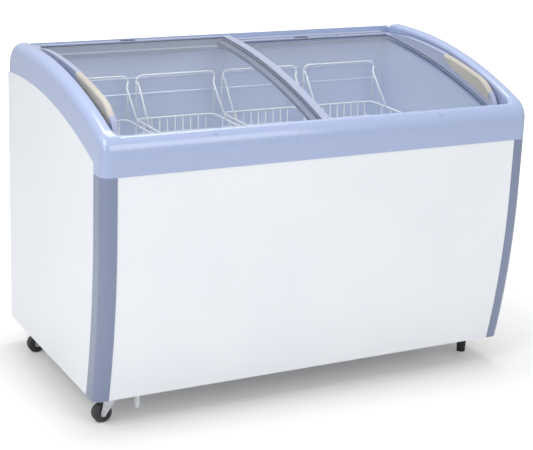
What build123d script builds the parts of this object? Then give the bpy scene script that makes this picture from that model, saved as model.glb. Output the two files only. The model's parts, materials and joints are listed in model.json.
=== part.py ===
from build123d import *
import os
from math import cos, radians, sin, sqrt

# Curved-glass display chest freezer, one solid per sub-part, in millimetres.
# Origin: on the floor, at the centre of the cabinet. +X right end, +Y rear, +Z up.

os.makedirs("parts", exist_ok=True)

# ---- driving dimensions: cabinet -------------------------------------------------
WIDTH = 1210                # over the end frames
HALF = WIDTH / 2
FRONT = -355                # front plane of the front rail and corner posts
REAR = 343                  # rear plane of the top frame
BASE = 78                   # underside of the cabinet
SEAM = 660                  # joint between the corner posts and the top frame
BOW_TOP = 520               # the front is vertical above this height
BOW_R = 2050                # front bow radius below it
SHEET = 1.5                 # outer panel thickness
RECESS = 1.5                # panels sit this far inside posts and frame
GAP = 0.5                   # hairline gap between cabinet pieces
WALL = 70                   # outer face of the cabinet to the tank

# ---- driving dimensions: top frame ----------------------------------------------
CREST = (205, -534, 1400)   # arc of the frame's top edge: centre Y, centre Z, radius
CREST_TOP = CREST[1] + CREST[2]
SKIRT = 80                  # height of the frame's side below the crest
CHEEK = 42                  # width of the end frames
LIP = -320                  # inner face of the front lip
FRAME_WALL = 3
CORNER_R = 24               # outer edge rounding of the frame and posts
REAR_RAIL = 302             # front face of the rear rail

# ---- driving dimensions: sliding doors -------------------------------------------
DOOR = (370, -1158.5)       # centre of every door arc: Y, Z
UPPER_R = 2011              # top surface of the left (upper) glass
DOOR_DROP = 13              # the right glass lies this much lower
LOWER_R = UPPER_R - DOOR_DROP
GLASS = 4
DOOR_EDGE = 550             # outer end of each glass
LEFT_MEET = (31, 22)        # inner edge of the left glass, width of its meeting strip
RIGHT_MEET = (-8, 21)       # the same for the right door, whose strip runs under the left one
CAP = 3                     # strips stand this much proud of the glass
UPPER_SPAN = (-318, 300)    # front and rear edge of the left door
LOWER_SPAN = (-302, 284)    # front and rear edge of the right door
FIN = 14                    # thickness of the handle fins
FIN_ARC = (180, -802, 1664)

# ---- driving dimensions: tank, baskets, running gear -------------------------------
TANK_X = HALF - WALL
TANK_Y = 285
TANK_FLOOR = 140
STEP_X = 315                # the tank floor steps up over the machine bay here
STEP_Z = 385
BASKET_W = 242
BASKET_PITCH = 262
BASKET_X0 = -410
CASTER_X, CASTER_Y = -541, 250
WHEEL_R, WHEEL_W, TRAIL = 25, 20, 22
FOOT_X = 559
FOOT_Y = (-200, 250)
DRAIN = (-470, -255)


def save(piece, label):
    """Name a finished sub-part and write its STEP file."""
    piece.part.label = label
    export_step(piece.part, f"parts/{label}.step")


def on_arc(centre_y, centre_z, radius, y):
    """Point of an arc's upper side at the given Y."""
    return (y, centre_z + sqrt(radius**2 - (y - centre_y) ** 2))


def crest(y, drop=0.0):
    """Point on the crest of the top frame, or on a line parallel to it."""
    return on_arc(CREST[0], CREST[1], CREST[2] - drop, y)


def door(y, radius):
    """Point on a door arc."""
    return on_arc(DOOR[0], DOOR[1], radius, y)


def bow(z, inset=0.0):
    """Point on the front bow."""
    drop = max(0.0, BOW_TOP - z)
    return (FRONT + inset + BOW_R - sqrt(BOW_R**2 - drop**2), z)


def box(x0, x1, y0, y1, z0, z1, mode=Mode.ADD):
    """Axis-aligned box in the current part."""
    with Locations(((x0 + x1) / 2, (y0 + y1) / 2, (z0 + z1) / 2)):
        Box(x1 - x0, y1 - y0, z1 - z0, mode=mode)


def bow_lines(inset, low=BASE, high=SEAM):
    """Front edge of a profile, from its top down to its lowest point."""
    Line((FRONT + inset, high), (FRONT + inset, BOW_TOP))
    ThreePointArc((FRONT + inset, BOW_TOP), bow((BOW_TOP + low) / 2, inset), bow(low, inset))


def arc_band(r_in, r_out, y0, y1, x0, x1):
    """Solid between two concentric door arcs."""
    middle = (y0 + y1) / 2
    with BuildPart() as band:
        with BuildSketch(Plane.YZ.offset(x0)):
            with BuildLine():
                ThreePointArc(door(y0, r_out), door(middle, r_out), door(y1, r_out))
                Line(door(y1, r_out), door(y1, r_in))
                ThreePointArc(door(y1, r_in), door(middle, r_in), door(y0, r_in))
                Line(door(y0, r_in), door(y0, r_out))
            make_face()
        extrude(amount=x1 - x0)
    return band.part


# ================================ corner posts ====================================
POST_SIDE = 56              # how far a post wraps along the side
POST_FRONT = 39             # how far it wraps along the front


def post_blank(inset, side, front, low, high, corner=CORNER_R):
    """Left corner post as a full block; the inset block is taken out of it."""
    with BuildPart() as blank:
        with BuildSketch(Plane.YZ.offset(-HALF + inset)):
            with BuildLine():
                bow_lines(inset, low, high)
                Line(bow(low, inset), bow(low, side))
                ThreePointArc(bow(low, side), bow((BOW_TOP + low) / 2, side), (FRONT + side, BOW_TOP))
                Line((FRONT + side, BOW_TOP), (FRONT + side, high))
                Line((FRONT + side, high), (FRONT + inset, high))
            make_face()
        extrude(amount=front - inset)
        outer_corner = blank.edges().filter_by(lambda e: abs(e.center().X + HALF - inset) < 0.01)
        outer_corner = outer_corner.filter_by(lambda e: e.length > 100).sort_by(Axis.Y)[0:2]
        if corner > 0:
            fillet(outer_corner, corner - inset)
    return blank.part


post_solid = post_blank(0, POST_SIDE, POST_FRONT, BASE, SEAM)
post_space = post_blank(0, POST_SIDE, POST_FRONT, BASE, SEAM, corner=0)
with BuildPart() as left_post:
    add(post_solid)
    add(post_blank(FRAME_WALL, POST_SIDE + 20, POST_FRONT + 20, BASE - 5, SEAM + 5), mode=Mode.SUBTRACT)
save(left_post, "left_corner_post")

with BuildPart() as right_post:
    mirror(left_post.part, about=Plane.YZ, mode=Mode.ADD)
save(right_post, "right_corner_post")


# ================================== top frame =====================================
FRONT_ROUND = 60            # rounding from the front face into the crest
REAR_ROUND = 75             # rounding of the crest down to the rear plane


def frame_envelope(inset, low):
    """Full-width block with the frame's outer shape; low drops its underside."""
    crest_front = crest(FRONT + inset, inset)
    skirt_front = FRONT + POST_SIDE - inset
    with BuildPart() as envelope:
        with BuildSketch(Plane.YZ.offset(-HALF + inset)):
            with BuildLine():
                Line((FRONT + inset, SEAM - low), (FRONT + inset, crest_front[1]))
                ThreePointArc(crest_front, crest(-90, inset), (CREST[0], CREST_TOP - inset))
                Line((CREST[0], CREST_TOP - inset), (REAR - inset, CREST_TOP - inset))
                Line((REAR - inset, CREST_TOP - inset), crest(REAR - inset, SKIRT + low))
                ThreePointArc(
                    crest(REAR - inset, SKIRT + low),
                    crest(0, SKIRT + low),
                    crest(skirt_front, SKIRT + low),
                )
                Line(crest(skirt_front, SKIRT + low), (skirt_front, SEAM - low))
                Line((skirt_front, SEAM - low), (FRONT + inset, SEAM - low))
            make_face()
            front_corner = vertices().filter_by(lambda v: abs(v.Y - crest_front[1]) < 0.01)
            fillet(front_corner, FRONT_ROUND - inset)
            rear_corner = vertices().sort_by(lambda v: v.X + v.Y)[-1]
            fillet(rear_corner, REAR_ROUND - inset)
        extrude(amount=WIDTH - 2 * inset)
        ends = envelope.edges().filter_by(lambda e: abs(abs(e.center().X) - HALF + inset) < 0.01)
        lowest = SKIRT + low - 5
        upper = ends.filter_by(
            lambda e: e.center().Z > crest(e.center().Y, lowest)[1] or e.center().Y < FRONT + inset + 2
        )
        fillet(upper, CORNER_R - inset)
    return envelope.part


def inner_prism(grow):
    """Upright block of the frame's inner opening, open to the rear."""
    half = HALF - CHEEK + grow
    low_y = LIP - grow
    with BuildPart() as prism:
        box(-half, half, low_y, REAR + 50, SEAM - 100, CREST_TOP + 50)
        front_corners = prism.edges().filter_by(Axis.Z).group_by(Axis.Y)[0]
        fillet(front_corners, OPENING_R + grow)
    return prism.part


def open_frame(inset, low, grow, rim):
    """The envelope with its opening cut out and the inner rim rounded."""
    with BuildPart() as ring:
        add(frame_envelope(inset, low))
        add(inner_prism(grow), mode=Mode.SUBTRACT)
        half = HALF - CHEEK + grow
        rims = ring.edges().filter_by(lambda e: abs(e.center().X) < half + 0.01)
        rims = rims.filter_by(lambda e: e.center().Z > crest(min(e.center().Y, REAR), SKIRT + low - 5)[1])
        seams = rims.filter_by(Axis.Z).filter_by(lambda e: e.center().Y < 0)
        fillet([edge for edge in rims if edge not in seams], rim)
    return ring.part


OPENING_R = 16
RIM_R = 11
DECK_TOP = LOWER_R - GLASS - 10
DECK_THICK = 3
DECK_INNER = TANK_X - 1.5    # the deck covers the edge of the tank lining
DECK_SPAN = (LIP - 2, REAR_RAIL)


def deck(x0, x1):
    """Ledge inside an end frame, just under the doors."""
    return arc_band(DECK_TOP - DECK_THICK, DECK_TOP, *DECK_SPAN, x0, x1)


with BuildPart() as top_frame:
    add(open_frame(0, 0, 0, RIM_R))
    add(open_frame(FRAME_WALL, 30, FRAME_WALL, RIM_R - FRAME_WALL), mode=Mode.SUBTRACT)
    add(deck(-HALF + CHEEK - 1, -DECK_INNER))
    add(deck(DECK_INNER, HALF - CHEEK + 1))
save(top_frame, "top_frame")

RAIL_HALF = HALF - CHEEK - GAP


def rear_rail_block(inset, low):
    """Stretch of the envelope between the end frames, behind the doors."""
    with BuildPart() as block:
        add(frame_envelope(inset, low))
        end = RAIL_HALF - inset
        box(-end, end, REAR_RAIL + inset, REAR + 1, SEAM, CREST_TOP, mode=Mode.INTERSECT)
    return block.part


with BuildPart() as rear_rail:
    add(rear_rail_block(0, 0))
    add(rear_rail_block(FRAME_WALL, 30), mode=Mode.SUBTRACT)
save(rear_rail, "rear_rail")

# ================================== door tracks ===================================
# Each track has a ledge for the upper door and, nearer the middle, a lower one.
RUN = 0.5                   # running clearance under and beside the door strips
UPPER_LEDGE = UPPER_R - GLASS - CAP - RUN
LOWER_LEDGE = LOWER_R - GLASS - CAP - RUN
FRONT_STEP = (UPPER_SPAN[0] + 14 + LOWER_SPAN[0]) / 2
REAR_STEP = (UPPER_SPAN[1] - 14 + LOWER_SPAN[1]) / 2
TRACK_HALF = DECK_INNER - GAP


def track(outline):
    """Track of constant section, from end to end of the tank opening."""
    with BuildPart() as rail:
        with BuildSketch(Plane.YZ.offset(-TRACK_HALF)):
            with BuildLine():
                Polyline(*outline, close=True)
            make_face()
        extrude(amount=2 * TRACK_HALF)
    return rail


front_track = track(
    [
        (LIP + GAP, 700),
        (LIP + GAP, door(LIP + GAP, UPPER_LEDGE)[1]),
        door(FRONT_STEP, UPPER_LEDGE),
        door(FRONT_STEP, LOWER_LEDGE),
        door(-TANK_Y - GAP, LOWER_LEDGE),
        (-TANK_Y - GAP, 700),
    ]
)
save(front_track, "front_track")

rear_track = track(
    [
        (REAR_RAIL - GAP, 800),
        (REAR_RAIL - GAP, door(REAR_RAIL - GAP, UPPER_LEDGE)[1]),
        door(REAR_STEP, UPPER_LEDGE),
        door(REAR_STEP, LOWER_LEDGE),
        door(TANK_Y - 18, LOWER_LEDGE),
        door(TANK_Y - 18, LOWER_LEDGE - 8),
        door(TANK_Y + 1, LOWER_LEDGE - 8),
        (TANK_Y + 1, 800),
    ]
)
save(rear_track, "rear_track")

# ================================= outer panels ===================================
PANEL_X = HALF - RECESS     # outer face of the side panels
PANEL_REAR = REAR - RECESS
SIDE_EDGE = POST_SIDE + GAP
GRILLE_Y = (-255, 115)
GRILLE_Z = (105, 335)


def side_profile(front_inset, low, drop, rear):
    """Outline of the cabinet's side, from the front bow to the rear."""
    skirt_front = crest(max(FRONT + front_inset, FRONT + POST_SIDE), SKIRT + drop)
    with BuildLine() as outline:
        bow_lines(front_inset, low, skirt_front[1] if front_inset > POST_SIDE else SEAM - drop)
        if front_inset <= POST_SIDE:
            Line((FRONT + front_inset, SEAM - drop), (skirt_front[0], SEAM - drop))
            Line((skirt_front[0], SEAM - drop), skirt_front)
        ThreePointArc(skirt_front, crest(0, SKIRT + drop), crest(rear, SKIRT + drop))
        Line(crest(rear, SKIRT + drop), (rear, low))
        Line((rear, low), bow(low, front_inset))
    return outline.line


def side_panel(x0):
    """Flat end sheet, SHEET thick, starting at x0."""
    with BuildPart() as panel:
        with BuildSketch(Plane.YZ.offset(x0)):
            with BuildLine():
                add(side_profile(SIDE_EDGE, BASE, GAP, PANEL_REAR))
            make_face()
        extrude(amount=SHEET)
    return panel.part


with BuildPart() as left_side:
    add(side_panel(-PANEL_X))
save(left_side, "left_side_panel")

with BuildPart() as right_side:
    add(side_panel(PANEL_X - SHEET))
    box(PANEL_X - 5, PANEL_X + 5, *GRILLE_Y, *GRILLE_Z, mode=Mode.SUBTRACT)
save(right_side, "right_side_panel")

FRONT_HALF = HALF - POST_FRONT - GAP
with BuildPart() as front_panel:
    with BuildSketch(Plane.YZ.offset(-FRONT_HALF)):
        with BuildLine():
            bow_lines(RECESS, BASE, SEAM - GAP)
            Line(bow(BASE, RECESS), bow(BASE, RECESS + SHEET))
            ThreePointArc(
                bow(BASE, RECESS + SHEET),
                bow((BOW_TOP + BASE) / 2, RECESS + SHEET),
                bow(BOW_TOP, RECESS + SHEET),
            )
            Line(bow(BOW_TOP, RECESS + SHEET), bow(SEAM - GAP, RECESS + SHEET))
            Line(bow(SEAM - GAP, RECESS + SHEET), bow(SEAM - GAP, RECESS))
        make_face()
    extrude(amount=2 * FRONT_HALF)
save(front_panel, "front_panel")

REAR_HALF = PANEL_X - SHEET - GAP
REAR_TOP = crest(PANEL_REAR, SKIRT + GAP)[1] - 1
LOUVRE_PITCH = 14
CORD_X, CORD_Z = 400, 150
with BuildPart() as rear_panel:
    box(-REAR_HALF, REAR_HALF, PANEL_REAR - SHEET, PANEL_REAR, BASE, REAR_TOP)
    with BuildSketch(Plane.XZ.offset(-PANEL_REAR)):
        with Locations((490, 240)):
            with GridLocations(0, LOUVRE_PITCH, 1, 12):
                SlotOverall(120, 5)
        with Locations((CORD_X, CORD_Z)):
            Circle(7)
    extrude(amount=10, both=True, mode=Mode.SUBTRACT)
save(rear_panel, "rear_panel")

PAN_X = REAR_HALF
PAN_THICK = 2
PAN_FRONT = bow(BASE)[0] + RECESS + SHEET + 1
PAN_REAR = PANEL_REAR - SHEET - GAP
with BuildPart() as base_pan:
    box(-PAN_X, PAN_X, PAN_FRONT, PAN_REAR, BASE, BASE + PAN_THICK)
    fillet(base_pan.edges().filter_by(Axis.Z).group_by(Axis.Y)[0], CORNER_R)
    with Locations((*DRAIN, BASE)):
        Hole(9)
save(base_pan, "base_pan")

# ============================ tank, foam and machine bay ==========================
LINER = 1.5
TANK_TOP_R = DECK_TOP - DECK_THICK - GAP
TANK_CORNER = 15
BEAD_Z = (705, 750)


def tank_block(inset):
    """Tank as a full block, with the step over the machine bay."""
    with BuildPart() as block:
        with BuildSketch(Plane.XZ.offset(-TANK_Y + inset)):
            with BuildLine():
                Polyline(
                    (-TANK_X + inset, TANK_FLOOR + inset),
                    (STEP_X - inset, TANK_FLOOR + inset),
                    (STEP_X - inset, STEP_Z + inset),
                    (TANK_X - inset, STEP_Z + inset),
                    (TANK_X - inset, CREST_TOP),
                    (-TANK_X + inset, CREST_TOP),
                    close=True,
                )
            make_face()
        extrude(amount=2 * (TANK_Y - inset))
        uprights = block.edges().filter_by(Axis.Z).filter_by(lambda e: e.length > 300)
        fillet(uprights, TANK_CORNER - inset)
    return block.part


with BuildPart() as below_doors:
    with BuildSketch(Plane.YZ.offset(-HALF)):
        with BuildLine():
            ThreePointArc(door(-TANK_Y - 5, TANK_TOP_R), door(0, TANK_TOP_R), door(TANK_Y + 5, TANK_TOP_R))
            Polyline(
                door(TANK_Y + 5, TANK_TOP_R),
                (TANK_Y + 5, 0),
                (-TANK_Y - 5, 0),
                door(-TANK_Y - 5, TANK_TOP_R),
            )
        make_face()
    extrude(amount=WIDTH)

with BuildPart() as tank_outer:
    add(tank_block(0))
    add(below_doors.part, mode=Mode.INTERSECT)

with BuildPart() as tank:
    add(tank_outer.part)
    add(tank_block(LINER), mode=Mode.SUBTRACT)
    for bead_z in BEAD_Z:
        with Locations((0, TANK_Y - LINER, bead_z)):
            Cylinder(3, 2 * TANK_X - 60, rotation=(0, 90, 0))
    box(-TANK_X, TANK_X, TANK_Y, TANK_Y + 10, 600, 800, mode=Mode.SUBTRACT)
    with Locations((*DRAIN, TANK_FLOOR)):
        Hole(6)
save(tank, "tank")

BAY = (STEP_X + 8, STEP_Z - 12)      # machine bay: inner X, top Z
BAY_Y = (-275, PAN_REAR)
COIL_Z = (440, 490, 540, 590, 640)
COIL_R = 4
COIL_OFF = 6


def coil_loops(radius):
    """Evaporator tube loops around the tank, at the given tube radius."""
    half_x = TANK_X + COIL_OFF
    half_y = TANK_Y + COIL_OFF
    with BuildPart() as loops:
        for z in COIL_Z:
            with BuildLine(Plane.XY.offset(z)):
                FilletPolyline((0, -half_y), (half_x, -half_y), (half_x, half_y), (0, half_y), radius=25)
            with BuildSketch(Plane(origin=(0, -half_y, z), z_dir=(1, 0, 0))):
                Circle(radius)
            sweep()
        mirror(about=Plane.YZ)
    return loops.part


with BuildPart() as foam:
    with BuildSketch(Plane.YZ.offset(-REAR_HALF)):
        with BuildLine():
            add(side_profile(RECESS + SHEET + GAP, BASE + PAN_THICK + GAP, 3, PAN_REAR))
        make_face()
    extrude(amount=2 * REAR_HALF)
    add(post_space, mode=Mode.SUBTRACT)
    mirror(post_space, about=Plane.YZ, mode=Mode.SUBTRACT)
    well_x = TANK_X + GAP
    well_y = TANK_Y + GAP
    box(-well_x, STEP_X + GAP, -well_y, well_y, TANK_FLOOR - GAP, 900, mode=Mode.SUBTRACT)
    box(STEP_X, well_x, -well_y, well_y, STEP_Z - GAP, 900, mode=Mode.SUBTRACT)
    box(BAY[0] - 2, HALF, BAY_Y[0], REAR, BASE, BAY[1] + 2, mode=Mode.SUBTRACT)
    add(coil_loops(COIL_R + GAP), mode=Mode.SUBTRACT)
    with Locations((*DRAIN, BASE)):
        Hole(9)
save(foam, "foam_insulation")

with BuildPart() as evaporator:
    add(coil_loops(COIL_R))
save(evaporator, "evaporator_coil")

with BuildPart() as bay_cover:
    box(BAY[0] - 1.5, REAR_HALF - 1, BAY_Y[0] + 1, PAN_REAR, BAY[1], BAY[1] + 1.5)
    box(BAY[0] - 1.5, BAY[0], BAY_Y[0] + 1, PAN_REAR, BASE + PAN_THICK + GAP, BAY[1] + 1.5)
save(bay_cover, "machine_bay_cover")

# ================================= sliding doors ==================================
GRIP_SPAN = (-262, -40)     # stretch of a fin covered by its grip
GRIP_BASE = 13              # height of the grip's lower edge above the glass
GRIP_SLANT = 50             # run of its slanting rear end
FIN_REAR = 255
FIN_FRONT = -290
SLOT_X = 266                # finger slots, from the middle of the cabinet
SLOT_SHIFT = 13


def fin_top(y, lower):
    """Point on the top edge of a handle fin."""
    return on_arc(FIN_ARC[0], FIN_ARC[1] - lower, FIN_ARC[2], y)


def crescent(radius, lower, x0, x1):
    """Fin standing on the glass: low at the rear, full at the front, with a round nose."""
    base = radius - GLASS / 2
    with BuildPart() as fin:
        with BuildSketch(Plane.YZ.offset(x0)):
            with BuildLine():
                ThreePointArc(door(FIN_FRONT, base), door(0, base), door(FIN_REAR, base))
                rear_tip = door(FIN_REAR, radius + CAP)
                Line(door(FIN_REAR, base), rear_tip)
                rear_mid = ((rear_tip[0] + 150) / 2, (rear_tip[1] + fin_top(150, lower)[1]) / 2 + 2)
                ThreePointArc(rear_tip, rear_mid, fin_top(150, lower))
                back = ThreePointArc(fin_top(150, lower), fin_top(-30, lower), fin_top(-205, lower))
                nose_end = door(FIN_FRONT, radius + CAP)
                TangentArc(fin_top(-205, lower), nose_end, tangent=back % 1)
                Line(nose_end, door(FIN_FRONT, base))
            make_face()
        extrude(amount=x1 - x0)
    return fin.part


def make_door(side, radius, lower, span, meet):
    """All pieces of one door. side is -1 for the left door and +1 for the right."""
    meet_edge, strip_width = meet
    name = "left_door" if side < 0 else "right_door"
    outer = side * DOOR_EDGE
    x0, x1 = sorted((outer, meet_edge))
    cap_in = radius - GLASS - CAP
    cap_out = radius + CAP

    with BuildPart() as glass:
        add(arc_band(radius - GLASS, radius, span[0] + 2, span[1] - 2, x0, x1))
    save(glass, f"{name}_glass")

    meet0, meet1 = sorted((meet_edge - side * CAP, meet_edge + side * strip_width))
    with BuildPart() as meeting:
        add(arc_band(cap_in, cap_out, *span, meet0, meet1))
        add(glass.part, mode=Mode.SUBTRACT)
        long_edges = meeting.edges().filter_by(GeomType.CIRCLE).filter_by(lambda e: e.radius > cap_out - 1)
        fillet(long_edges, 2)
    save(meeting, f"{name}_meeting_strip")

    fin0, fin1 = sorted((outer + side * CAP, outer - side * FIN))
    grip_box = Plane.YZ.offset(fin0 - 5)
    with BuildPart() as grip_zone:
        with BuildSketch(grip_box):
            with BuildLine():
                low_r = radius + GRIP_BASE
                front_y, rear_y = GRIP_SPAN
                slant_y = rear_y - GRIP_SLANT
                middle = (front_y + slant_y) / 2
                ThreePointArc(door(front_y, low_r), door(middle, low_r), door(slant_y, low_r))
                Polyline(
                    door(slant_y, low_r),
                    (rear_y, fin_top(rear_y, lower)[1] - 10),
                    (rear_y, CREST_TOP + 50),
                    (front_y, CREST_TOP + 50),
                    door(front_y, low_r),
                )
            make_face()
        extrude(amount=FIN + CAP + 10)
    with BuildPart() as fin_block:
        add(arc_band(cap_in, cap_out, *span, fin0, fin1))
        add(crescent(radius, lower, fin0 + 1.5, fin1 - 1.5))
        add(glass.part, mode=Mode.SUBTRACT)
    with BuildPart() as fin:
        add(fin_block.part)
        add(grip_zone.part, mode=Mode.SUBTRACT)
    save(fin, f"{name}_fin")
    with BuildPart() as grip:
        add(crescent(radius, lower, fin0 - 0.5, fin1 + 0.5))
        add(grip_zone.part, mode=Mode.INTERSECT)
        tops = grip.edges().filter_by(GeomType.CIRCLE).sort_by(Axis.Z)
        tops = tops.filter_by(lambda e: e.length > 100)
        tops = tops.filter_by(lambda e: e.center().Z > door(e.center().Y, radius + 20)[1])
        fillet(tops, 6)
    save(grip, f"{name}_grip")

    inner0 = max(fin1 + GAP, x0) if side < 0 else meet1 + GAP
    inner1 = meet0 - GAP if side < 0 else fin0 - GAP
    for label, y0, y1 in (("front", span[0], span[0] + 14), ("rear", span[1] - 14, span[1])):
        with BuildPart() as strip:
            add(arc_band(cap_in, cap_out, y0, y1, inner0, inner1))
            add(glass.part, mode=Mode.SUBTRACT)
        save(strip, f"{name}_{label}_strip")

    with BuildPart() as slot_cap:
        slot_y = span[1] - 7
        with BuildSketch(Plane.XY.offset(door(slot_y, cap_out)[1] - GAP)):
            with Locations((side * SLOT_X - SLOT_SHIFT, slot_y)):
                SlotOverall(44, 9)
        extrude(amount=2)
        add(arc_band(cap_in, cap_out, span[1] - 14, span[1], inner0, inner1), mode=Mode.SUBTRACT)
    save(slot_cap, f"{name}_finger_slot")
    return cap_in


left_underside = make_door(-1, UPPER_R, 0, UPPER_SPAN, LEFT_MEET)
make_door(1, LOWER_R, DOOR_DROP, LOWER_SPAN, RIGHT_MEET)

with BuildPart() as brush:
    brush_x = (RIGHT_MEET[0] + RIGHT_MEET[1] - 3.5, RIGHT_MEET[0] + RIGHT_MEET[1] - 0.5)
    brush_y = (LOWER_SPAN[0] + 4, LOWER_SPAN[1] - 20)
    add(arc_band(left_underside - 2, left_underside, *brush_y, *brush_x))
save(brush, "left_door_brush")

# =================================== baskets ======================================
BASKET_Y = (-268, 265)
BASKET_LOW = 470
BASKET_SIDE = 640           # side rim of a basket
BASKET_BACK = 738           # top of its tall back
HOOP_TOP = 765
WIRE = 3                    # radius of the rim wire
BASKET_WALL = 4


def basket_shape(x_mid, inset):
    """Basket as a block: tall back, rim sloping down to the low sides."""
    low_y = BASKET_Y[0] + inset
    high_y = BASKET_Y[1] - inset
    with BuildPart() as block:
        with BuildSketch(Plane.YZ.offset(x_mid - BASKET_W / 2 + inset)):
            with BuildLine():
                rise = 200 if inset else 0
                Polyline(
                    (low_y + 12, BASKET_LOW + inset),
                    (high_y - 12, BASKET_LOW + inset),
                    (high_y, BASKET_BACK + rise),
                    (high_y - 20, BASKET_BACK + rise),
                    (BASKET_Y[1] - 105, BASKET_SIDE + rise),
                    (low_y, BASKET_SIDE + rise),
                    close=True,
                )
            make_face()
        extrude(amount=BASKET_W - 2 * inset)
    return block.part


for number in range(4):
    x_mid = BASKET_X0 + BASKET_PITCH * number
    hoop_half = BASKET_W / 2 - WIRE
    hoop_y = BASKET_Y[1] - 5
    with BuildPart() as basket:
        add(basket_shape(x_mid, 0))
        add(basket_shape(x_mid, BASKET_WALL), mode=Mode.SUBTRACT)
        with BuildLine(Plane.XZ.offset(-hoop_y)):
            FilletPolyline(
                (x_mid - hoop_half, BASKET_BACK - 10),
                (x_mid - hoop_half, HOOP_TOP - WIRE),
                (x_mid + hoop_half, HOOP_TOP - WIRE),
                (x_mid + hoop_half, BASKET_BACK - 10),
                radius=22,
            )
        with BuildSketch(Plane.XY.offset(BASKET_BACK - 10)):
            with Locations((x_mid - hoop_half, hoop_y)):
                Circle(WIRE)
        sweep()
    save(basket, f"basket_{number + 1}")

# ================================ refrigeration ===================================
FLOOR = BASE + PAN_THICK
COMPRESSOR = (430, 190)
POT_R = 72
POT_H = 150
GROMMET = 46

with BuildPart() as compressor:
    with Locations((*COMPRESSOR, FLOOR + 16 + POT_H / 2)):
        Cylinder(POT_R, POT_H)
    fillet(compressor.edges().filter_by(GeomType.CIRCLE), 34)
    box(
        COMPRESSOR[0] - 80, COMPRESSOR[0] + 80, COMPRESSOR[1] - 62, COMPRESSOR[1] + 62,
        FLOOR + 12, FLOOR + 17,
    )
    with Locations((*COMPRESSOR, FLOOR + 16 + POT_H / 2)):
        Cylinder(POT_R + 3, 8)
    with Locations((COMPRESSOR[0] - 88, COMPRESSOR[1], FLOOR + 95)):
        Box(30, 44, 52)
    with Locations((COMPRESSOR[0], COMPRESSOR[1], FLOOR + 12)):
        with GridLocations(3 * GROMMET, 2 * GROMMET, 2, 2):
            Hole(4.2)
save(compressor, "compressor")

with BuildPart() as grommets:
    with Locations((COMPRESSOR[0], COMPRESSOR[1], FLOOR + 6)):
        with GridLocations(3 * GROMMET, 2 * GROMMET, 2, 2):
            Cylinder(11, 11.6)
    with Locations((COMPRESSOR[0], COMPRESSOR[1], FLOOR + 14)):
        with GridLocations(3 * GROMMET, 2 * GROMMET, 2, 2):
            Cylinder(4.1, 10)
save(grommets, "compressor_grommets")

CORE_X = (560, 592)         # condenser core, just inside the grille
CORE_Y = (-240, -20)
CORE_Z = (100, 320)
with BuildPart() as condenser:
    fins = 22
    fin_pitch = (CORE_Y[1] - CORE_Y[0] - 1) / (fins - 1)
    for fin in range(fins):
        fin_y = CORE_Y[0] + fin * fin_pitch
        box(*CORE_X, fin_y, fin_y + 1, *CORE_Z)
    with Locations((sum(CORE_X) / 2, sum(CORE_Y) / 2, sum(CORE_Z) / 2)):
        with GridLocations(16, 0, 2, 1):
            for row in range(6):
                with Locations((0, 0, (row - 2.5) * 36)):
                    Cylinder(4, CORE_Y[1] - CORE_Y[0] + 12, rotation=(90, 0, 0))
    box(*CORE_X, *CORE_Y, FLOOR + GAP, CORE_Z[0])
save(condenser, "condenser")

FAN_X = 532
FAN_YZ = (sum(CORE_Y) / 2, sum(CORE_Z) / 2)
FAN_R = 88
with BuildPart() as fan_shroud:
    box(CORE_X[0] - 6, CORE_X[0] - 4, *CORE_Y, FLOOR + GAP, CORE_Z[1])
    with BuildSketch(Plane.YZ.offset(CORE_X[0] - 24)):
        with Locations(FAN_YZ):
            Circle(FAN_R + 6)
    extrude(amount=19)
    with BuildSketch(Plane.YZ.offset(CORE_X[0] - 30)):
        with Locations(FAN_YZ):
            Circle(FAN_R + 3)
    extrude(amount=40, mode=Mode.SUBTRACT)
save(fan_shroud, "fan_shroud")

MOTOR_X = FAN_X - 52
with BuildPart() as fan_motor:
    with BuildSketch(Plane.YZ.offset(MOTOR_X)):
        with Locations(FAN_YZ):
            RectangleRounded(64, 64, 10)
    extrude(amount=42)
    with BuildSketch(Plane.YZ.offset(MOTOR_X)):
        with Locations(FAN_YZ):
            Circle(4)
    extrude(amount=66)
    box(MOTOR_X + 8, MOTOR_X + 11, FAN_YZ[0] - 25, FAN_YZ[0] + 25, FLOOR + GAP, FAN_YZ[1] - 30)
    box(MOTOR_X - 30, MOTOR_X + 11, FAN_YZ[0] - 25, FAN_YZ[0] + 25, FLOOR + GAP, FLOOR + 3)
save(fan_motor, "fan_motor")

with BuildPart() as fan:
    with BuildSketch(Plane.YZ.offset(MOTOR_X + 44)):
        with Locations(FAN_YZ):
            Circle(22)
    extrude(amount=24)
    fillet(fan.edges().filter_by(GeomType.CIRCLE).sort_by(Axis.X)[-1], 8)
    for blade in range(5):
        turn = radians(360 / 5 * blade)
        outward = (0, cos(turn), sin(turn))
        root = (MOTOR_X + 56, FAN_YZ[0] + 20 * cos(turn), FAN_YZ[1] + 20 * sin(turn))
        with BuildSketch(Plane(origin=root, x_dir=(1, 0, 0), z_dir=outward)):
            Rectangle(2, 30, rotation=32)
        extrude(amount=FAN_R - 22)
    with BuildSketch(Plane.YZ.offset(MOTOR_X)):
        with Locations(FAN_YZ):
            Circle(4.05)
    extrude(amount=67, mode=Mode.SUBTRACT)
save(fan, "condenser_fan")

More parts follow.
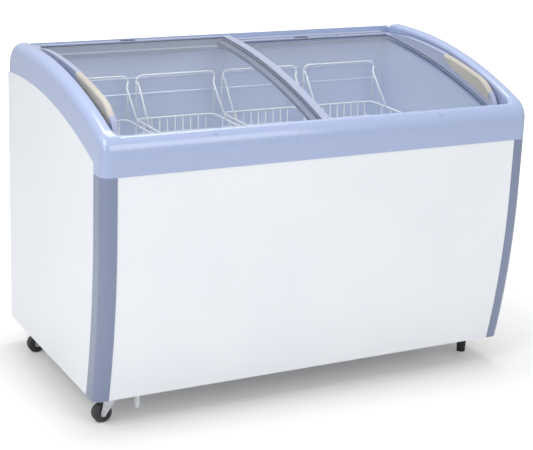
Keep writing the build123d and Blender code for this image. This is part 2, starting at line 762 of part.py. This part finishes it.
# ============================ side grille and thermostat ==========================
GRILLE_X = HALF - 0.5
KNOB = (55, 220)            # Y and Z of the thermostat knob
KNOB_R = 17
KNOB_X = HALF - 13          # inner face of the knob, which turns inside a hole of the grille
with BuildPart() as grille:
    with BuildSketch(Plane.YZ.offset(GRILLE_X - 9)):
        with Locations((sum(GRILLE_Y) / 2, sum(GRILLE_Z) / 2)):
            RectangleRounded(GRILLE_Y[1] - GRILLE_Y[0] - 1, GRILLE_Z[1] - GRILLE_Z[0] - 1, 3)
    extrude(amount=9)
    with BuildSketch(Plane.YZ.offset(GRILLE_X - 9)):
        with Locations((sum(GRILLE_Y) / 2, sum(GRILLE_Z) / 2)):
            RectangleRounded(GRILLE_Y[1] - GRILLE_Y[0] - 7, GRILLE_Z[1] - GRILLE_Z[0] - 7, 2)
    extrude(amount=6, mode=Mode.SUBTRACT)
    with BuildSketch(Plane.YZ.offset(GRILLE_X - 9)):
        with Locations(FAN_YZ):
            with GridLocations(0, 16, 1, 12):
                SlotOverall(200, 8)
        with Locations(KNOB):
            Circle(KNOB_R + 4)
    extrude(amount=12, mode=Mode.SUBTRACT)
save(grille, "side_grille")

SHAFT_R = 3
with BuildPart() as thermostat:
    box(KNOB_X - 34, KNOB_X - 1, KNOB[0] - 22, KNOB[0] + 22, KNOB[1] - 15, KNOB[1] + 15)
    with BuildSketch(Plane.YZ.offset(KNOB_X - 1)):
        with Locations(KNOB):
            Circle(SHAFT_R)
    extrude(amount=5)
save(thermostat, "thermostat")

with BuildPart() as knob:
    with BuildSketch(Plane.YZ.offset(KNOB_X)):
        with Locations(KNOB):
            Circle(KNOB_R)
    extrude(amount=12, taper=8)
    fillet(knob.faces().sort_by(Axis.X)[-1].edges(), 1.5)
    with BuildSketch(Plane.YZ.offset(KNOB_X - 1)):
        with Locations(KNOB):
            Circle(SHAFT_R + 0.05)
    extrude(amount=6, mode=Mode.SUBTRACT)
    with BuildSketch(Plane.YZ.offset(KNOB_X + 11)):
        with Locations((KNOB[0], KNOB[1] + 9)):
            SlotOverall(9, 2, rotation=90)
    extrude(amount=2, mode=Mode.SUBTRACT)
save(knob, "thermostat_knob")

# ================================ cord and drain ==================================
CORD_R = 3.5
CORD_Y = REAR + CORD_R + 1
with BuildPart() as cord:
    with BuildLine() as cord_path:
        FilletPolyline(
            (CORD_X, REAR - 20, CORD_Z),
            (CORD_X, CORD_Y, CORD_Z),
            (CORD_X, CORD_Y, 420),
            (CORD_X - 90, CORD_Y, 420),
            (CORD_X - 90, CORD_Y, 230),
            radius=CORD_R + 2,
        )
    with BuildSketch(Plane(origin=(CORD_X, REAR - 20, CORD_Z), z_dir=(0, 1, 0))):
        Circle(CORD_R)
    sweep()
save(cord, "power_cord")

with BuildPart() as plug:
    with Locations((CORD_X - 90, CORD_Y + 1, 206)):
        Box(26, 14, 44)
    fillet(plug.edges().filter_by(Axis.Z), 5)
    with Locations((CORD_X - 90, CORD_Y + 1, 176)):
        with GridLocations(13, 0, 2, 1):
            Box(1.6, 6, 18)
    with Locations((CORD_X - 90, CORD_Y, 230)):
        Hole(CORD_R, depth=6)
save(plug, "power_plug")

SPOUT_LOW = 26
with BuildPart() as spout:
    with BuildSketch(Plane.XZ.offset(-DRAIN[1])):
        with BuildLine():
            Polyline(
                (DRAIN[0] + 6, TANK_FLOOR - GAP),
                (DRAIN[0] + 8.3, TANK_FLOOR - GAP),
                (DRAIN[0] + 8.3, BASE - GAP),
                (DRAIN[0] + 13, BASE - GAP),
                (DRAIN[0] + 13, BASE - 4),
                (DRAIN[0] + 8, BASE - 6),
                (DRAIN[0] + 8, SPOUT_LOW + 12),
                (DRAIN[0] + 6.8, SPOUT_LOW),
                (DRAIN[0] + 6, SPOUT_LOW),
                close=True,
            )
        make_face()
    revolve(axis=Axis((*DRAIN, 0), (0, 0, 1)))
save(spout, "drain_spout")

with BuildPart() as drain_plug:
    with BuildSketch(Plane.XZ.offset(-DRAIN[1])):
        with BuildLine():
            Polyline(
                (DRAIN[0], TANK_FLOOR - 8),
                (DRAIN[0] + 5.95, TANK_FLOOR - 8),
                (DRAIN[0] + 5.95, TANK_FLOOR + LINER + 0.1),
                (DRAIN[0] + 16, TANK_FLOOR + LINER + 0.1),
                (DRAIN[0] + 14, TANK_FLOOR + 6),
                (DRAIN[0] + 4, TANK_FLOOR + 8),
                (DRAIN[0] + 4, TANK_FLOOR + 16),
                (DRAIN[0], TANK_FLOOR + 16),
                close=True,
            )
        make_face()
    revolve(axis=Axis((*DRAIN, 0), (0, 0, 1)))
save(drain_plug, "drain_plug")

# ============================== casters and feet ==================================
PLATE = 60
STEM_R = 5
AXLE_R = 4
for label, side in (("front", -1), ("rear", 1)):
    pivot = (CASTER_X, side * CASTER_Y)
    wheel_x = CASTER_X - TRAIL
    with BuildPart() as plate:
        with BuildSketch(Plane.XY.offset(BASE - 3)):
            with Locations(pivot):
                RectangleRounded(PLATE, PLATE, 5)
        extrude(amount=3)
        with BuildSketch(Plane.XY.offset(66)):
            with Locations(pivot):
                Circle(18)
        extrude(amount=10)
        with BuildSketch(Plane.XY.offset(60)):
            with Locations(pivot):
                Circle(STEM_R + 0.05)
        extrude(amount=14, mode=Mode.SUBTRACT)
    save(plate, f"{label}_caster_plate")

    with BuildPart() as fork:
        with BuildSketch(Plane.XY.offset(62)):
            with Locations(pivot):
                Circle(17)
        extrude(amount=3.5)
        with BuildSketch(Plane.XY.offset(62)):
            with Locations(pivot):
                Circle(STEM_R)
        extrude(amount=11)
        box(CASTER_X - 20, CASTER_X + 14, pivot[1] - 15, pivot[1] + 15, 60, 63)
        for cheek_y in (pivot[1] - 15, pivot[1] + 12.5):
            with BuildSketch(Plane.XZ.offset(-cheek_y - 2.5)):
                with BuildLine():
                    Line((wheel_x - 7, WHEEL_R), (CASTER_X - 20, 63))
                    Line((CASTER_X - 20, 63), (CASTER_X + 14, 63))
                    Line((CASTER_X + 14, 63), (wheel_x + 5, WHEEL_R - 5))
                    ThreePointArc(
                        (wheel_x + 5, WHEEL_R - 5),
                        (wheel_x - 2, WHEEL_R - 7),
                        (wheel_x - 7, WHEEL_R),
                    )
                make_face()
            extrude(amount=2.5)
        with BuildSketch(Plane.XZ.offset(-pivot[1] - 20)):
            with Locations((wheel_x, WHEEL_R)):
                Circle(AXLE_R)
        extrude(amount=40, mode=Mode.SUBTRACT)
    save(fork, f"{label}_caster_fork")

    with BuildPart() as axle:
        with BuildSketch(Plane.XZ.offset(-pivot[1] - 17)):
            with Locations((wheel_x, WHEEL_R)):
                Circle(AXLE_R)
        extrude(amount=34)
        for head_y in (pivot[1] + 15, pivot[1] - 18):
            with BuildSketch(Plane.XZ.offset(-head_y - 3)):
                with Locations((wheel_x, WHEEL_R)):
                    Circle(6)
            extrude(amount=3)
    save(axle, f"{label}_caster_axle")

    with BuildPart() as wheel:
        with BuildSketch(Plane.XZ.offset(-pivot[1] - WHEEL_W / 2)):
            with Locations((wheel_x, WHEEL_R)):
                Circle(WHEEL_R)
        extrude(amount=WHEEL_W)
        fillet(wheel.edges().filter_by(GeomType.CIRCLE), 3)
        for face_y, depth in ((pivot[1] - WHEEL_W / 2, 2), (pivot[1] + WHEEL_W / 2, -2)):
            with BuildSketch(Plane.XZ.offset(-face_y)):
                with Locations((wheel_x, WHEEL_R)):
                    Circle(17)
                    Circle(8, mode=Mode.SUBTRACT)
            extrude(amount=-depth, mode=Mode.SUBTRACT)
        with BuildSketch(Plane.XZ.offset(-pivot[1] - WHEEL_W)):
            with Locations((wheel_x, WHEEL_R)):
                Circle(AXLE_R + 0.05)
        extrude(amount=2 * WHEEL_W, mode=Mode.SUBTRACT)
    save(wheel, f"{label}_caster_wheel")

STUD_R = 4
LEG_LOW = 12
with BuildPart() as legs:
    for foot_y in FOOT_Y:
        with BuildSketch(Plane.XZ.offset(-foot_y)):
            with BuildLine():
                Polyline(
                    (FOOT_X + STUD_R + 0.05, LEG_LOW),
                    (FOOT_X + 12.5, LEG_LOW),
                    (FOOT_X + 15, BASE - 6),
                    (FOOT_X + 19, BASE - 5),
                    (FOOT_X + 19, BASE),
                    (FOOT_X + STUD_R + 0.05, BASE),
                    close=True,
                )
            make_face()
        revolve(axis=Axis((FOOT_X, foot_y, 0), (0, 0, 1)))
save(legs, "foot_legs")

for label, foot_y in (("front", FOOT_Y[0]), ("rear", FOOT_Y[1])):
    with BuildPart() as glide:
        with Locations((FOOT_X, foot_y, LEG_LOW / 2 - 0.25)):
            Cylinder(12, LEG_LOW - 0.5)
        fillet(glide.edges().filter_by(GeomType.CIRCLE), 1.5)
        with Locations((FOOT_X, foot_y, 34)):
            Cylinder(STUD_R, 56)
    save(glide, f"{label}_foot_glide")

# ================================ small fittings ==================================
RAIL_ROUND = (FRONT + FRONT_ROUND, 709.2)
PLUG_TILT = radians(53)
with BuildPart() as rail_plugs:
    for plug_x in (-315, 330):
        origin = (
            plug_x,
            RAIL_ROUND[0] - (FRONT_ROUND + 0.1) * sin(PLUG_TILT),
            RAIL_ROUND[1] + (FRONT_ROUND + 0.1) * cos(PLUG_TILT),
        )
        with BuildSketch(Plane(origin=origin, x_dir=(1, 0, 0), z_dir=(0, -sin(PLUG_TILT), cos(PLUG_TILT)))):
            Circle(5)
        extrude(amount=1.2)
save(rail_plugs, "front_rail_plugs")
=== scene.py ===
import json
import math

import bmesh
import bpy
from mathutils import Matrix, Vector


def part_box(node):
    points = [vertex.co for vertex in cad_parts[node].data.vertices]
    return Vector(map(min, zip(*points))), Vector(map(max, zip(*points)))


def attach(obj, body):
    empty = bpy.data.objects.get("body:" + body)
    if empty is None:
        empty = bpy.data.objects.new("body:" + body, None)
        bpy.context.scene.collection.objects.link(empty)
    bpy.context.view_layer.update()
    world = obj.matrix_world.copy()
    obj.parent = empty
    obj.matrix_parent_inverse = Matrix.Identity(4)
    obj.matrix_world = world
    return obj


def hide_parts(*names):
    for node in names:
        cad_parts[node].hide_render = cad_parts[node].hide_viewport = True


# Looks for the curved-glass display chest freezer. Metres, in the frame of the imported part.
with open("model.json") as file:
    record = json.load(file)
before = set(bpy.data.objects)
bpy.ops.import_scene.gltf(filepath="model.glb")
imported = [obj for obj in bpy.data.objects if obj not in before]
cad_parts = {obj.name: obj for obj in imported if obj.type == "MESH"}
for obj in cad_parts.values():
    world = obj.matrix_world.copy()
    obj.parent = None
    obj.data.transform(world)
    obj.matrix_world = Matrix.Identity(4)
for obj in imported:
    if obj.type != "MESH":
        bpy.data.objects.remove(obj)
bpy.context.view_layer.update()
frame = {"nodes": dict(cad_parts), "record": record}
scene = bpy.context.scene


# ---- node helpers --------------------------------------------------------------------
class Shader:
    """A new material with a Principled shader and short calls to add nodes to it."""

    def __init__(self, name, roughness=0.5, metallic=0.0, coat=0.0):
        self.material = bpy.data.materials.new(name)
        self.material.use_nodes = True
        self.tree = self.material.node_tree
        self.main = self.tree.nodes["Principled BSDF"]
        self.main.inputs["Roughness"].default_value = roughness
        self.main.inputs["Metallic"].default_value = metallic
        self.main.inputs["Coat Weight"].default_value = coat
        self.main.inputs["Coat Roughness"].default_value = 0.08
        self.place = self.node("ShaderNodeTexCoord").outputs["Object"]

    def node(self, kind, **values):
        made = self.tree.nodes.new(kind)
        for key, value in values.items():
            setattr(made, key, value)
        return made

    def link(self, output, target):
        self.tree.links.new(output, target)

    def stretched(self, scale):
        """Object coordinates scaled differently along each axis."""
        mapping = self.node("ShaderNodeMapping")
        mapping.inputs["Scale"].default_value = scale
        self.link(self.place, mapping.inputs["Vector"])
        return mapping.outputs["Vector"]

    def noise(self, scale, detail=3.0, vector=None):
        made = self.node("ShaderNodeTexNoise")
        made.inputs["Scale"].default_value = scale
        made.inputs["Detail"].default_value = detail
        self.link(vector or self.place, made.inputs["Vector"])
        return made.outputs["Fac"]

    def voronoi(self, scale, feature="F1"):
        made = self.node("ShaderNodeTexVoronoi", feature=feature)
        made.inputs["Scale"].default_value = scale
        self.link(self.place, made.inputs["Vector"])
        return made

    def remap(self, value, low, high, low_in=0.3, high_in=0.7):
        made = self.node("ShaderNodeMapRange")
        made.inputs["From Min"].default_value = low_in
        made.inputs["From Max"].default_value = high_in
        made.inputs["To Min"].default_value = low
        made.inputs["To Max"].default_value = high
        self.link(value, made.inputs["Value"])
        return made.outputs["Result"]

    def colours(self, value, first, second):
        """Colour that goes from first to second as value goes from 0 to 1."""
        ramp = self.node("ShaderNodeMix", data_type="RGBA")
        ramp.inputs["A"].default_value = (*first, 1)
        ramp.inputs["B"].default_value = (*second, 1)
        self.link(value, ramp.inputs["Factor"])
        self.link(ramp.outputs["Result"], self.main.inputs["Base Color"])

    def rough(self, value):
        self.link(value, self.main.inputs["Roughness"])

    def bump(self, height, depth, strength=1.0):
        """Bump of the given depth in metres."""
        made = self.node("ShaderNodeBump")
        made.inputs["Distance"].default_value = depth
        made.inputs["Strength"].default_value = strength
        self.link(height, made.inputs["Height"])
        self.link(made.outputs["Normal"], self.main.inputs["Normal"])


# ---- materials -----------------------------------------------------------------------
def moulded(name, low, high, roughness=0.28, coat=0.35, ripple=11):
    """Glossy injection moulding: slight flow variation and faint sink ripples."""
    shader = Shader(name, coat=coat)
    flow = shader.noise(3, detail=2)
    shader.colours(shader.remap(flow, 0, 1), low, high)
    shader.rough(shader.remap(shader.noise(5), roughness - 0.01, roughness + 0.015))
    shader.bump(shader.noise(ripple, detail=1), 0.0002, 0.10)
    return shader.material


def coated_sheet(name, low, high):
    """Smooth coated steel with a faint waviness."""
    shader = Shader(name, coat=0.25)
    shader.colours(shader.remap(shader.noise(3), 0, 1), low, high)
    shader.rough(shader.remap(shader.noise(6), 0.32, 0.38))
    shader.bump(shader.noise(9, detail=1), 0.0002, 0.12)
    return shader.material


def stucco_aluminium():
    """Bright tank lining with a small embossed pebble."""
    shader = Shader("stucco_aluminium", metallic=0.6)
    shader.colours(shader.remap(shader.noise(4), 0, 1), (0.74, 0.79, 0.93), (0.78, 0.83, 0.96))
    shader.rough(shader.remap(shader.noise(7), 0.30, 0.38))
    pebble = shader.voronoi(190, feature="SMOOTH_F1")
    shader.bump(pebble.outputs["Distance"], 0.0002, 0.10)
    return shader.material


def zinc():
    """Zinc plate with the soft patches of a dipped part."""
    shader = Shader("zinc", metallic=0.95)
    cells = shader.voronoi(160).outputs["Color"]
    grey = shader.node("ShaderNodeRGBToBW")
    shader.link(cells, grey.inputs["Color"])
    shader.colours(grey.outputs["Val"], (0.50, 0.51, 0.53), (0.68, 0.69, 0.72))
    shader.rough(shader.remap(grey.outputs["Val"], 0.28, 0.5, 0, 1))
    shader.bump(shader.noise(500), 0.0001, 0.4)
    return shader.material


def bare_fins():
    """Aluminium fins and tubes with a light drawn grain."""
    shader = Shader("bare_fins", metallic=0.9)
    grain = shader.noise(60, vector=shader.stretched((1, 1, 30)))
    shader.colours(grain, (0.55, 0.53, 0.50), (0.75, 0.73, 0.70))
    shader.rough(shader.remap(grain, 0.3, 0.5))
    shader.bump(grain, 0.0001, 0.4)
    return shader.material


def black_enamel():
    """Stoved enamel of the compressor, slightly uneven."""
    shader = Shader("black_enamel", coat=0.5)
    shader.colours(shader.noise(20), (0.010, 0.010, 0.012), (0.022, 0.022, 0.025))
    shader.rough(shader.remap(shader.noise(80), 0.25, 0.4))
    shader.bump(shader.noise(300), 0.0002, 0.4)
    return shader.material


def soft_black(name, low=0.010, high=0.028, grain=700):
    """Matt black plastic or rubber with scuffed patches and a fine grain."""
    shader = Shader(name)
    shader.colours(shader.remap(shader.noise(40), 0, 1), (low, low, low * 1.1), (high, high, high * 1.1))
    shader.rough(shader.remap(shader.noise(120), 0.5, 0.75))
    shader.bump(shader.noise(grain, detail=2), 0.0003, 0.5)
    return shader.material


def foam():
    """Yellowish rigid foam with small open cells."""
    shader = Shader("foam", roughness=0.9)
    cells = shader.voronoi(700).outputs["Distance"]
    shader.colours(shader.noise(30), (0.62, 0.52, 0.26), (0.75, 0.66, 0.40))
    shader.bump(cells, 0.0008, 0.6)
    return shader.material


def clear_glass():
    """Thin tempered pane: see-through, with a grazing reflection and faint wipe marks."""
    shader = Shader("clear_glass")
    smear = shader.noise(14, detail=5, vector=shader.stretched((1, 4, 1)))
    gloss = shader.node("ShaderNodeBsdfGlossy")
    shader.link(shader.remap(smear, 0.02, 0.07), gloss.inputs["Roughness"])
    clear = shader.node("ShaderNodeBsdfTransparent")
    tint = shader.node("ShaderNodeMix", data_type="RGBA")
    tint.inputs["A"].default_value = (0.97, 0.985, 0.985, 1)
    tint.inputs["B"].default_value = (0.955, 0.975, 0.98, 1)
    shader.link(smear, tint.inputs["Factor"])
    shader.link(tint.outputs["Result"], clear.inputs["Color"])
    fresnel = shader.node("ShaderNodeFresnel")
    fresnel.inputs["IOR"].default_value = 1.45
    side = shader.node("ShaderNodeNewGeometry")
    outside = shader.node("ShaderNodeMath", operation="SUBTRACT")
    outside.inputs[0].default_value = 1.0
    shader.link(side.outputs["Backfacing"], outside.inputs[1])
    share = shader.node("ShaderNodeMath", operation="MULTIPLY")
    shader.link(fresnel.outputs["Fac"], share.inputs[0])
    shader.link(outside.outputs["Value"], share.inputs[1])
    blend = shader.node("ShaderNodeMixShader")
    shader.link(share.outputs["Value"], blend.inputs["Fac"])
    shader.link(clear.outputs["BSDF"], blend.inputs[1])
    shader.link(gloss.outputs["BSDF"], blend.inputs[2])
    shader.link(blend.outputs["Shader"], shader.tree.nodes["Material Output"].inputs["Surface"])
    return shader.material


# Each pair is the darkest and the palest tone of a surface.
LAVENDER = ((0.368, 0.445, 0.660), (0.373, 0.450, 0.665))
LAVENDER_PALE = ((0.36, 0.405, 0.55), (0.37, 0.415, 0.56))
materials = {
    "frame_plastic": moulded("frame_plastic", *LAVENDER, coat=0.7),
    "door_plastic": moulded("door_plastic", *LAVENDER_PALE),
    "grip_plastic": moulded("grip_plastic", (0.42, 0.395, 0.35), (0.50, 0.475, 0.43), 0.5, 0.0, 60),
    "slot_plastic": moulded("slot_plastic", (0.06, 0.07, 0.12), (0.09, 0.10, 0.16), 0.4, 0.1),
    "track_plastic": moulded("track_plastic", (0.34, 0.38, 0.48), (0.36, 0.40, 0.50), 0.45, 0.0),
    "white_panel": coated_sheet("white_panel", (0.80, 0.825, 0.87), (0.83, 0.855, 0.895)),
    "white_plastic": moulded("white_plastic", (0.76, 0.78, 0.80), (0.82, 0.84, 0.86), 0.4, 0.1),
    "tank_aluminium": stucco_aluminium(),
    "galvanised_steel": zinc(),
    "condenser_metal": bare_fins(),
    "black_enamel": black_enamel(),
    "rubber": soft_black("rubber", grain=400),
    "dark_plastic": soft_black("dark_plastic"),
    "foam": foam(),
    "glass": clear_glass(),
    "basket_wire": moulded("basket_wire", (0.88, 0.89, 0.92), (0.93, 0.94, 0.96), 0.3, 0.3, 200),
}
# Corner post tone: the frame lavender darkened, as painted shade on the posts' rounded wrap.
SHADED_POST_BLUE = ((0.198, 0.24, 0.36), (0.202, 0.244, 0.364))
# Meeting strip tone: a dark grey-blue, painted shade on the right door's strip seen under the left
# door's glass.
SHADED_STRIP_BLUE = ((0.22, 0.25, 0.35), (0.25, 0.28, 0.38))
shaded_post_plastic = moulded("shaded_post_plastic", *SHADED_POST_BLUE)
shaded_strip_plastic = moulded("shaded_strip_plastic", *SHADED_STRIP_BLUE, 0.4, 0.1)
wheel_grey = soft_black("wheel_grey", 0.035, 0.06)
# Pieces whose tone differs from the rest of their material slot: a lighter grey for the caster wheels,
# and painted shade on the corner posts and the door meeting strip.
special = {
    "front_caster_wheel": wheel_grey,
    "rear_caster_wheel": wheel_grey,
    "left_corner_post": shaded_post_plastic,
    "right_corner_post": shaded_post_plastic,
    "right_door_meeting_strip": shaded_strip_plastic,
}
for entry in frame["record"]["subparts"]:
    node = entry["node"]
    shown = frame["nodes"][node]
    shown.data.materials.clear()
    shown.data.materials.append(special.get(node) or materials[entry["material_slot"]])


# ---- wire baskets --------------------------------------------------------------------
CORNER_STEPS = 5


def rounded_path(points, radius, closed=False):
    """Polyline whose corners are replaced by short curves."""
    result = []
    count = len(points)
    for index, corner in enumerate(points):
        if not closed and index in (0, count - 1):
            result.append(corner)
            continue
        before = points[index - 1] - corner
        after = points[(index + 1) % count] - corner
        reach = min(radius, before.length * 0.45, after.length * 0.45)
        start = corner + before.normalized() * reach
        end = corner + after.normalized() * reach
        for step in range(CORNER_STEPS + 1):
            t = step / CORNER_STEPS
            result.append(start * (1 - t) ** 2 + corner * 2 * t * (1 - t) + end * t * t)
    return result


def add_tube(mesh, path, radius, closed=False, sides=8):
    """Sweep a round section along a path, turning it as little as possible."""
    count = len(path)
    rings = []
    side = None
    for index, point in enumerate(path):
        ahead = path[(index + 1) % count] if closed or index < count - 1 else point
        behind = path[index - 1] if closed or index > 0 else point
        along = (ahead - behind).normalized()
        if side is None:
            side = along.orthogonal().normalized()
        side = (side - along * side.dot(along)).normalized()
        other = along.cross(side)
        ring = []
        for step in range(sides):
            angle = 2 * math.pi * step / sides
            offset = side * math.cos(angle) + other * math.sin(angle)
            ring.append(mesh.verts.new(point + offset * radius))
        rings.append(ring)
    pairs = list(zip(rings, rings[1:]))
    if closed:
        first = rings[0]
        last = rings[-1]
        turn = min(range(sides), key=lambda k: (first[k].co - last[0].co).length)
        pairs.append((last, first[turn:] + first[:turn]))
    for low, high in pairs:
        for step in range(sides):
            after = (step + 1) % sides
            mesh.faces.new((low[step], low[after], high[after], high[step]))
    if not closed:
        mesh.faces.new(reversed(rings[0]))
        mesh.faces.new(rings[-1])


def finish_mesh(mesh, name, material):
    """Turn a bmesh into a smooth-shaded object with its material."""
    bmesh.ops.recalc_face_normals(mesh, faces=mesh.faces)
    data = bpy.data.meshes.new(name)
    mesh.to_mesh(data)
    mesh.free()
    for polygon in data.polygons:
        polygon.use_smooth = True
    data.materials.append(material)
    made = bpy.data.objects.new(name, data)
    scene.collection.objects.link(made)
    return made


RIM_WIRE = 0.0026           # wire radii
GRID_WIRE = 0.0014
SIDE_RIM = 0.640            # height of the side rim
KINK = 0.737                # height where a brace leaves the hoop
BRACE_RUN = 0.088           # how far a brace reaches forward
BRACE_BEND = 0.006          # how far a brace bends in at the kink
GRID_PITCH = 0.024
FLOOR_INSET = 0.012         # the basket narrows this much towards its floor
WELD = 0.003                # the hoop stands this far inside the back
RIM_CORNER = 0.018
FLOOR_CORNER = 0.012
HOOP_CORNER = 0.02
BRACE_CORNER = 0.006
GRID_CORNER = 0.008
RING_CORNER = 0.015


def wire_basket(node):
    """Welded wire basket: rim, tall rear hoop, slanting braces and a square grid."""
    low, high = (Vector(corner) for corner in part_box(node))
    x0, x1 = low.x + RIM_WIRE, high.x - RIM_WIRE
    front, back = low.y + RIM_WIRE, high.y - WELD - RIM_WIRE
    floor_front, floor_back = front + FLOOR_INSET, back - FLOOR_INSET
    floor_z = low.z + RIM_WIRE
    mesh = bmesh.new()

    rim = [(x0, front), (x1, front), (x1, back), (x0, back)]
    rim_path = rounded_path([Vector((x, y, SIDE_RIM)) for x, y in rim], RIM_CORNER, closed=True)
    add_tube(mesh, rim_path, RIM_WIRE, closed=True)
    base = [(x0, floor_front), (x1, floor_front), (x1, floor_back), (x0, floor_back)]
    base_path = rounded_path([Vector((x, y, floor_z)) for x, y in base], FLOOR_CORNER, closed=True)
    add_tube(mesh, base_path, RIM_WIRE, closed=True)

    top = high.z - RIM_WIRE
    hoop = [
        Vector((x0, back, SIDE_RIM)),
        Vector((x0, back, top)),
        Vector((x1, back, top)),
        Vector((x1, back, SIDE_RIM)),
    ]
    add_tube(mesh, rounded_path(hoop, HOOP_CORNER), RIM_WIRE)
    for x, inward in ((x0, 1), (x1, -1)):
        brace = [
            Vector((x + inward * 0.001, back - 0.004, KINK + 0.008)),
            Vector((x + inward * BRACE_BEND, back - BRACE_BEND, KINK - 0.004)),
            Vector((x + inward * 0.002, back - BRACE_RUN, SIDE_RIM)),
        ]
        add_tube(mesh, rounded_path(brace, BRACE_CORNER), RIM_WIRE)

    across = round((x1 - x0) / GRID_PITCH)
    for step in range(1, across):
        x = x0 + (x1 - x0) * step / across
        loop = [
            Vector((x, front, SIDE_RIM)),
            Vector((x, floor_front, floor_z)),
            Vector((x, floor_back, floor_z)),
            Vector((x, back, SIDE_RIM)),
        ]
        add_tube(mesh, rounded_path(loop, GRID_CORNER), GRID_WIRE, sides=6)
    along = round((floor_back - floor_front) / (2 * GRID_PITCH))
    for step in range(1, along):
        y = floor_front + (floor_back - floor_front) * step / along
        loop = [
            Vector((x0, y, SIDE_RIM)),
            Vector((x0, y, floor_z)),
            Vector((x1, y, floor_z)),
            Vector((x1, y, SIDE_RIM)),
        ]
        add_tube(mesh, rounded_path(loop, GRID_CORNER), GRID_WIRE, sides=6)
    for level in (0.25, 0.5, 0.75):
        z = floor_z + (SIDE_RIM - floor_z) * level
        y0 = floor_front + (front - floor_front) * level
        y1 = floor_back + (back - floor_back) * level
        ring = [Vector((x0, y0, z)), Vector((x1, y0, z)), Vector((x1, y1, z)), Vector((x0, y1, z))]
        add_tube(mesh, rounded_path(ring, RING_CORNER, closed=True), GRID_WIRE, closed=True, sides=6)

    made = finish_mesh(mesh, f"{node}_wires", materials["basket_wire"])
    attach(made, node)
    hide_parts(node)


for number in range(1, 5):
    wire_basket(f"basket_{number}")


# ---- stage, light and camera ---------------------------------------------------------
FLOOR_HALF = 12.0
FLOOR_GLOW = (0.12, 0.75)   # glow seen by the camera near the freezer and far from it
GLOW_REACH = (0.9, 3.0)     # distances from the origin at which these hold


def stage_floor():
    """Pale floor that looks a little brighter to the camera than the light it sends back."""
    data = bpy.data.meshes.new("floor")
    mesh = bmesh.new()
    signs = ((-1, -1), (1, -1), (1, 1), (-1, 1))
    mesh.faces.new([mesh.verts.new((x * FLOOR_HALF, y * FLOOR_HALF, 0)) for x, y in signs])
    mesh.to_mesh(data)
    mesh.free()
    shader = Shader("studio_floor", roughness=0.6)
    shader.colours(shader.noise(2), (0.86, 0.86, 0.86), (0.88, 0.88, 0.88))
    shader.main.inputs["Emission Color"].default_value = (1, 1, 1, 1)
    reach = shader.node("ShaderNodeVectorMath", operation="LENGTH")
    shader.link(shader.place, reach.inputs[0])
    glow = shader.node("ShaderNodeMath", operation="MULTIPLY")
    shader.link(shader.remap(reach.outputs["Value"], *FLOOR_GLOW, *GLOW_REACH), glow.inputs[0])
    shader.link(shader.node("ShaderNodeLightPath").outputs["Is Camera Ray"], glow.inputs[1])
    shader.link(glow.outputs["Value"], shader.main.inputs["Emission Strength"])
    data.materials.append(shader.material)
    made = bpy.data.objects.new("floor", data)
    scene.collection.objects.link(made)


def area_light(name, place, aim, size, power):
    """White rectangular light at a place, turned to its aim."""
    data = bpy.data.lights.new(name, "AREA")
    data.shape = "RECTANGLE"
    data.size, data.size_y = size
    data.energy = power
    made = bpy.data.objects.new(name, data)
    made.location = place
    made.rotation_euler = (Vector(aim) - Vector(place)).to_track_quat("-Z", "Y").to_euler()
    scene.collection.objects.link(made)


WORLD_STRENGTH = 0.56


def studio_light():
    """Even white surround, three broad softboxes and two small ones for glints."""
    world = bpy.data.worlds.new("studio")
    world.use_nodes = True
    world.node_tree.nodes["Background"].inputs["Color"].default_value = (1.0, 1.0, 1.0, 1)
    world.node_tree.nodes["Background"].inputs["Strength"].default_value = WORLD_STRENGTH
    scene.world = world
    area_light("key", (-2.5, -1.4, 2.9), (0, 0, 0.5), (1.8, 1.8), 44)
    area_light("front_fill", (0.8, -4.0, 2.6), (0, 0, 0.5), (2.6, 1.6), 36)
    area_light("top", (0.2, 0.3, 3.6), (0, 0, 0.8), (2.4, 1.4), 60)
    area_light("cheek_glint", (-2.16, 0.29, 2.17), (-0.6, -0.29, 0.73), (0.08, 0.2), 3)
    area_light("corner_glint", (-2.35, -1.53, 1.3), (-0.6, -0.35, 0.7), (0.06, 0.15), 1.5)


CAMERA_PLACE = (-1.7936, -3.4026, 1.571)
CAMERA_YAW = 0.489
CAMERA_DOWN = 0.300
CAMERA_ROLL = 0.039
CAMERA_LENS = 98.98


def set_camera():
    """Front-left view, slightly above the lid, with the photo's small roll."""
    data = bpy.data.cameras.new("camera")
    data.sensor_fit = "HORIZONTAL"
    data.sensor_width = 36.0
    data.lens = CAMERA_LENS
    level = Vector((math.sin(CAMERA_YAW), math.cos(CAMERA_YAW), 0))
    ahead = level * math.cos(CAMERA_DOWN) - Vector((0, 0, math.sin(CAMERA_DOWN)))
    level_right = Vector((math.cos(CAMERA_YAW), -math.sin(CAMERA_YAW), 0))
    level_up = level_right.cross(ahead)
    right = level_right * math.cos(CAMERA_ROLL) + level_up * math.sin(CAMERA_ROLL)
    up = level_up * math.cos(CAMERA_ROLL) - level_right * math.sin(CAMERA_ROLL)
    turn = Matrix((right, up, -ahead)).transposed()
    made = bpy.data.objects.new("camera", data)
    made.matrix_world = Matrix.Translation(CAMERA_PLACE) @ turn.to_4x4()
    scene.collection.objects.link(made)
    scene.camera = made


stage_floor()
studio_light()
set_camera()
scene.view_settings.view_transform = "Standard"
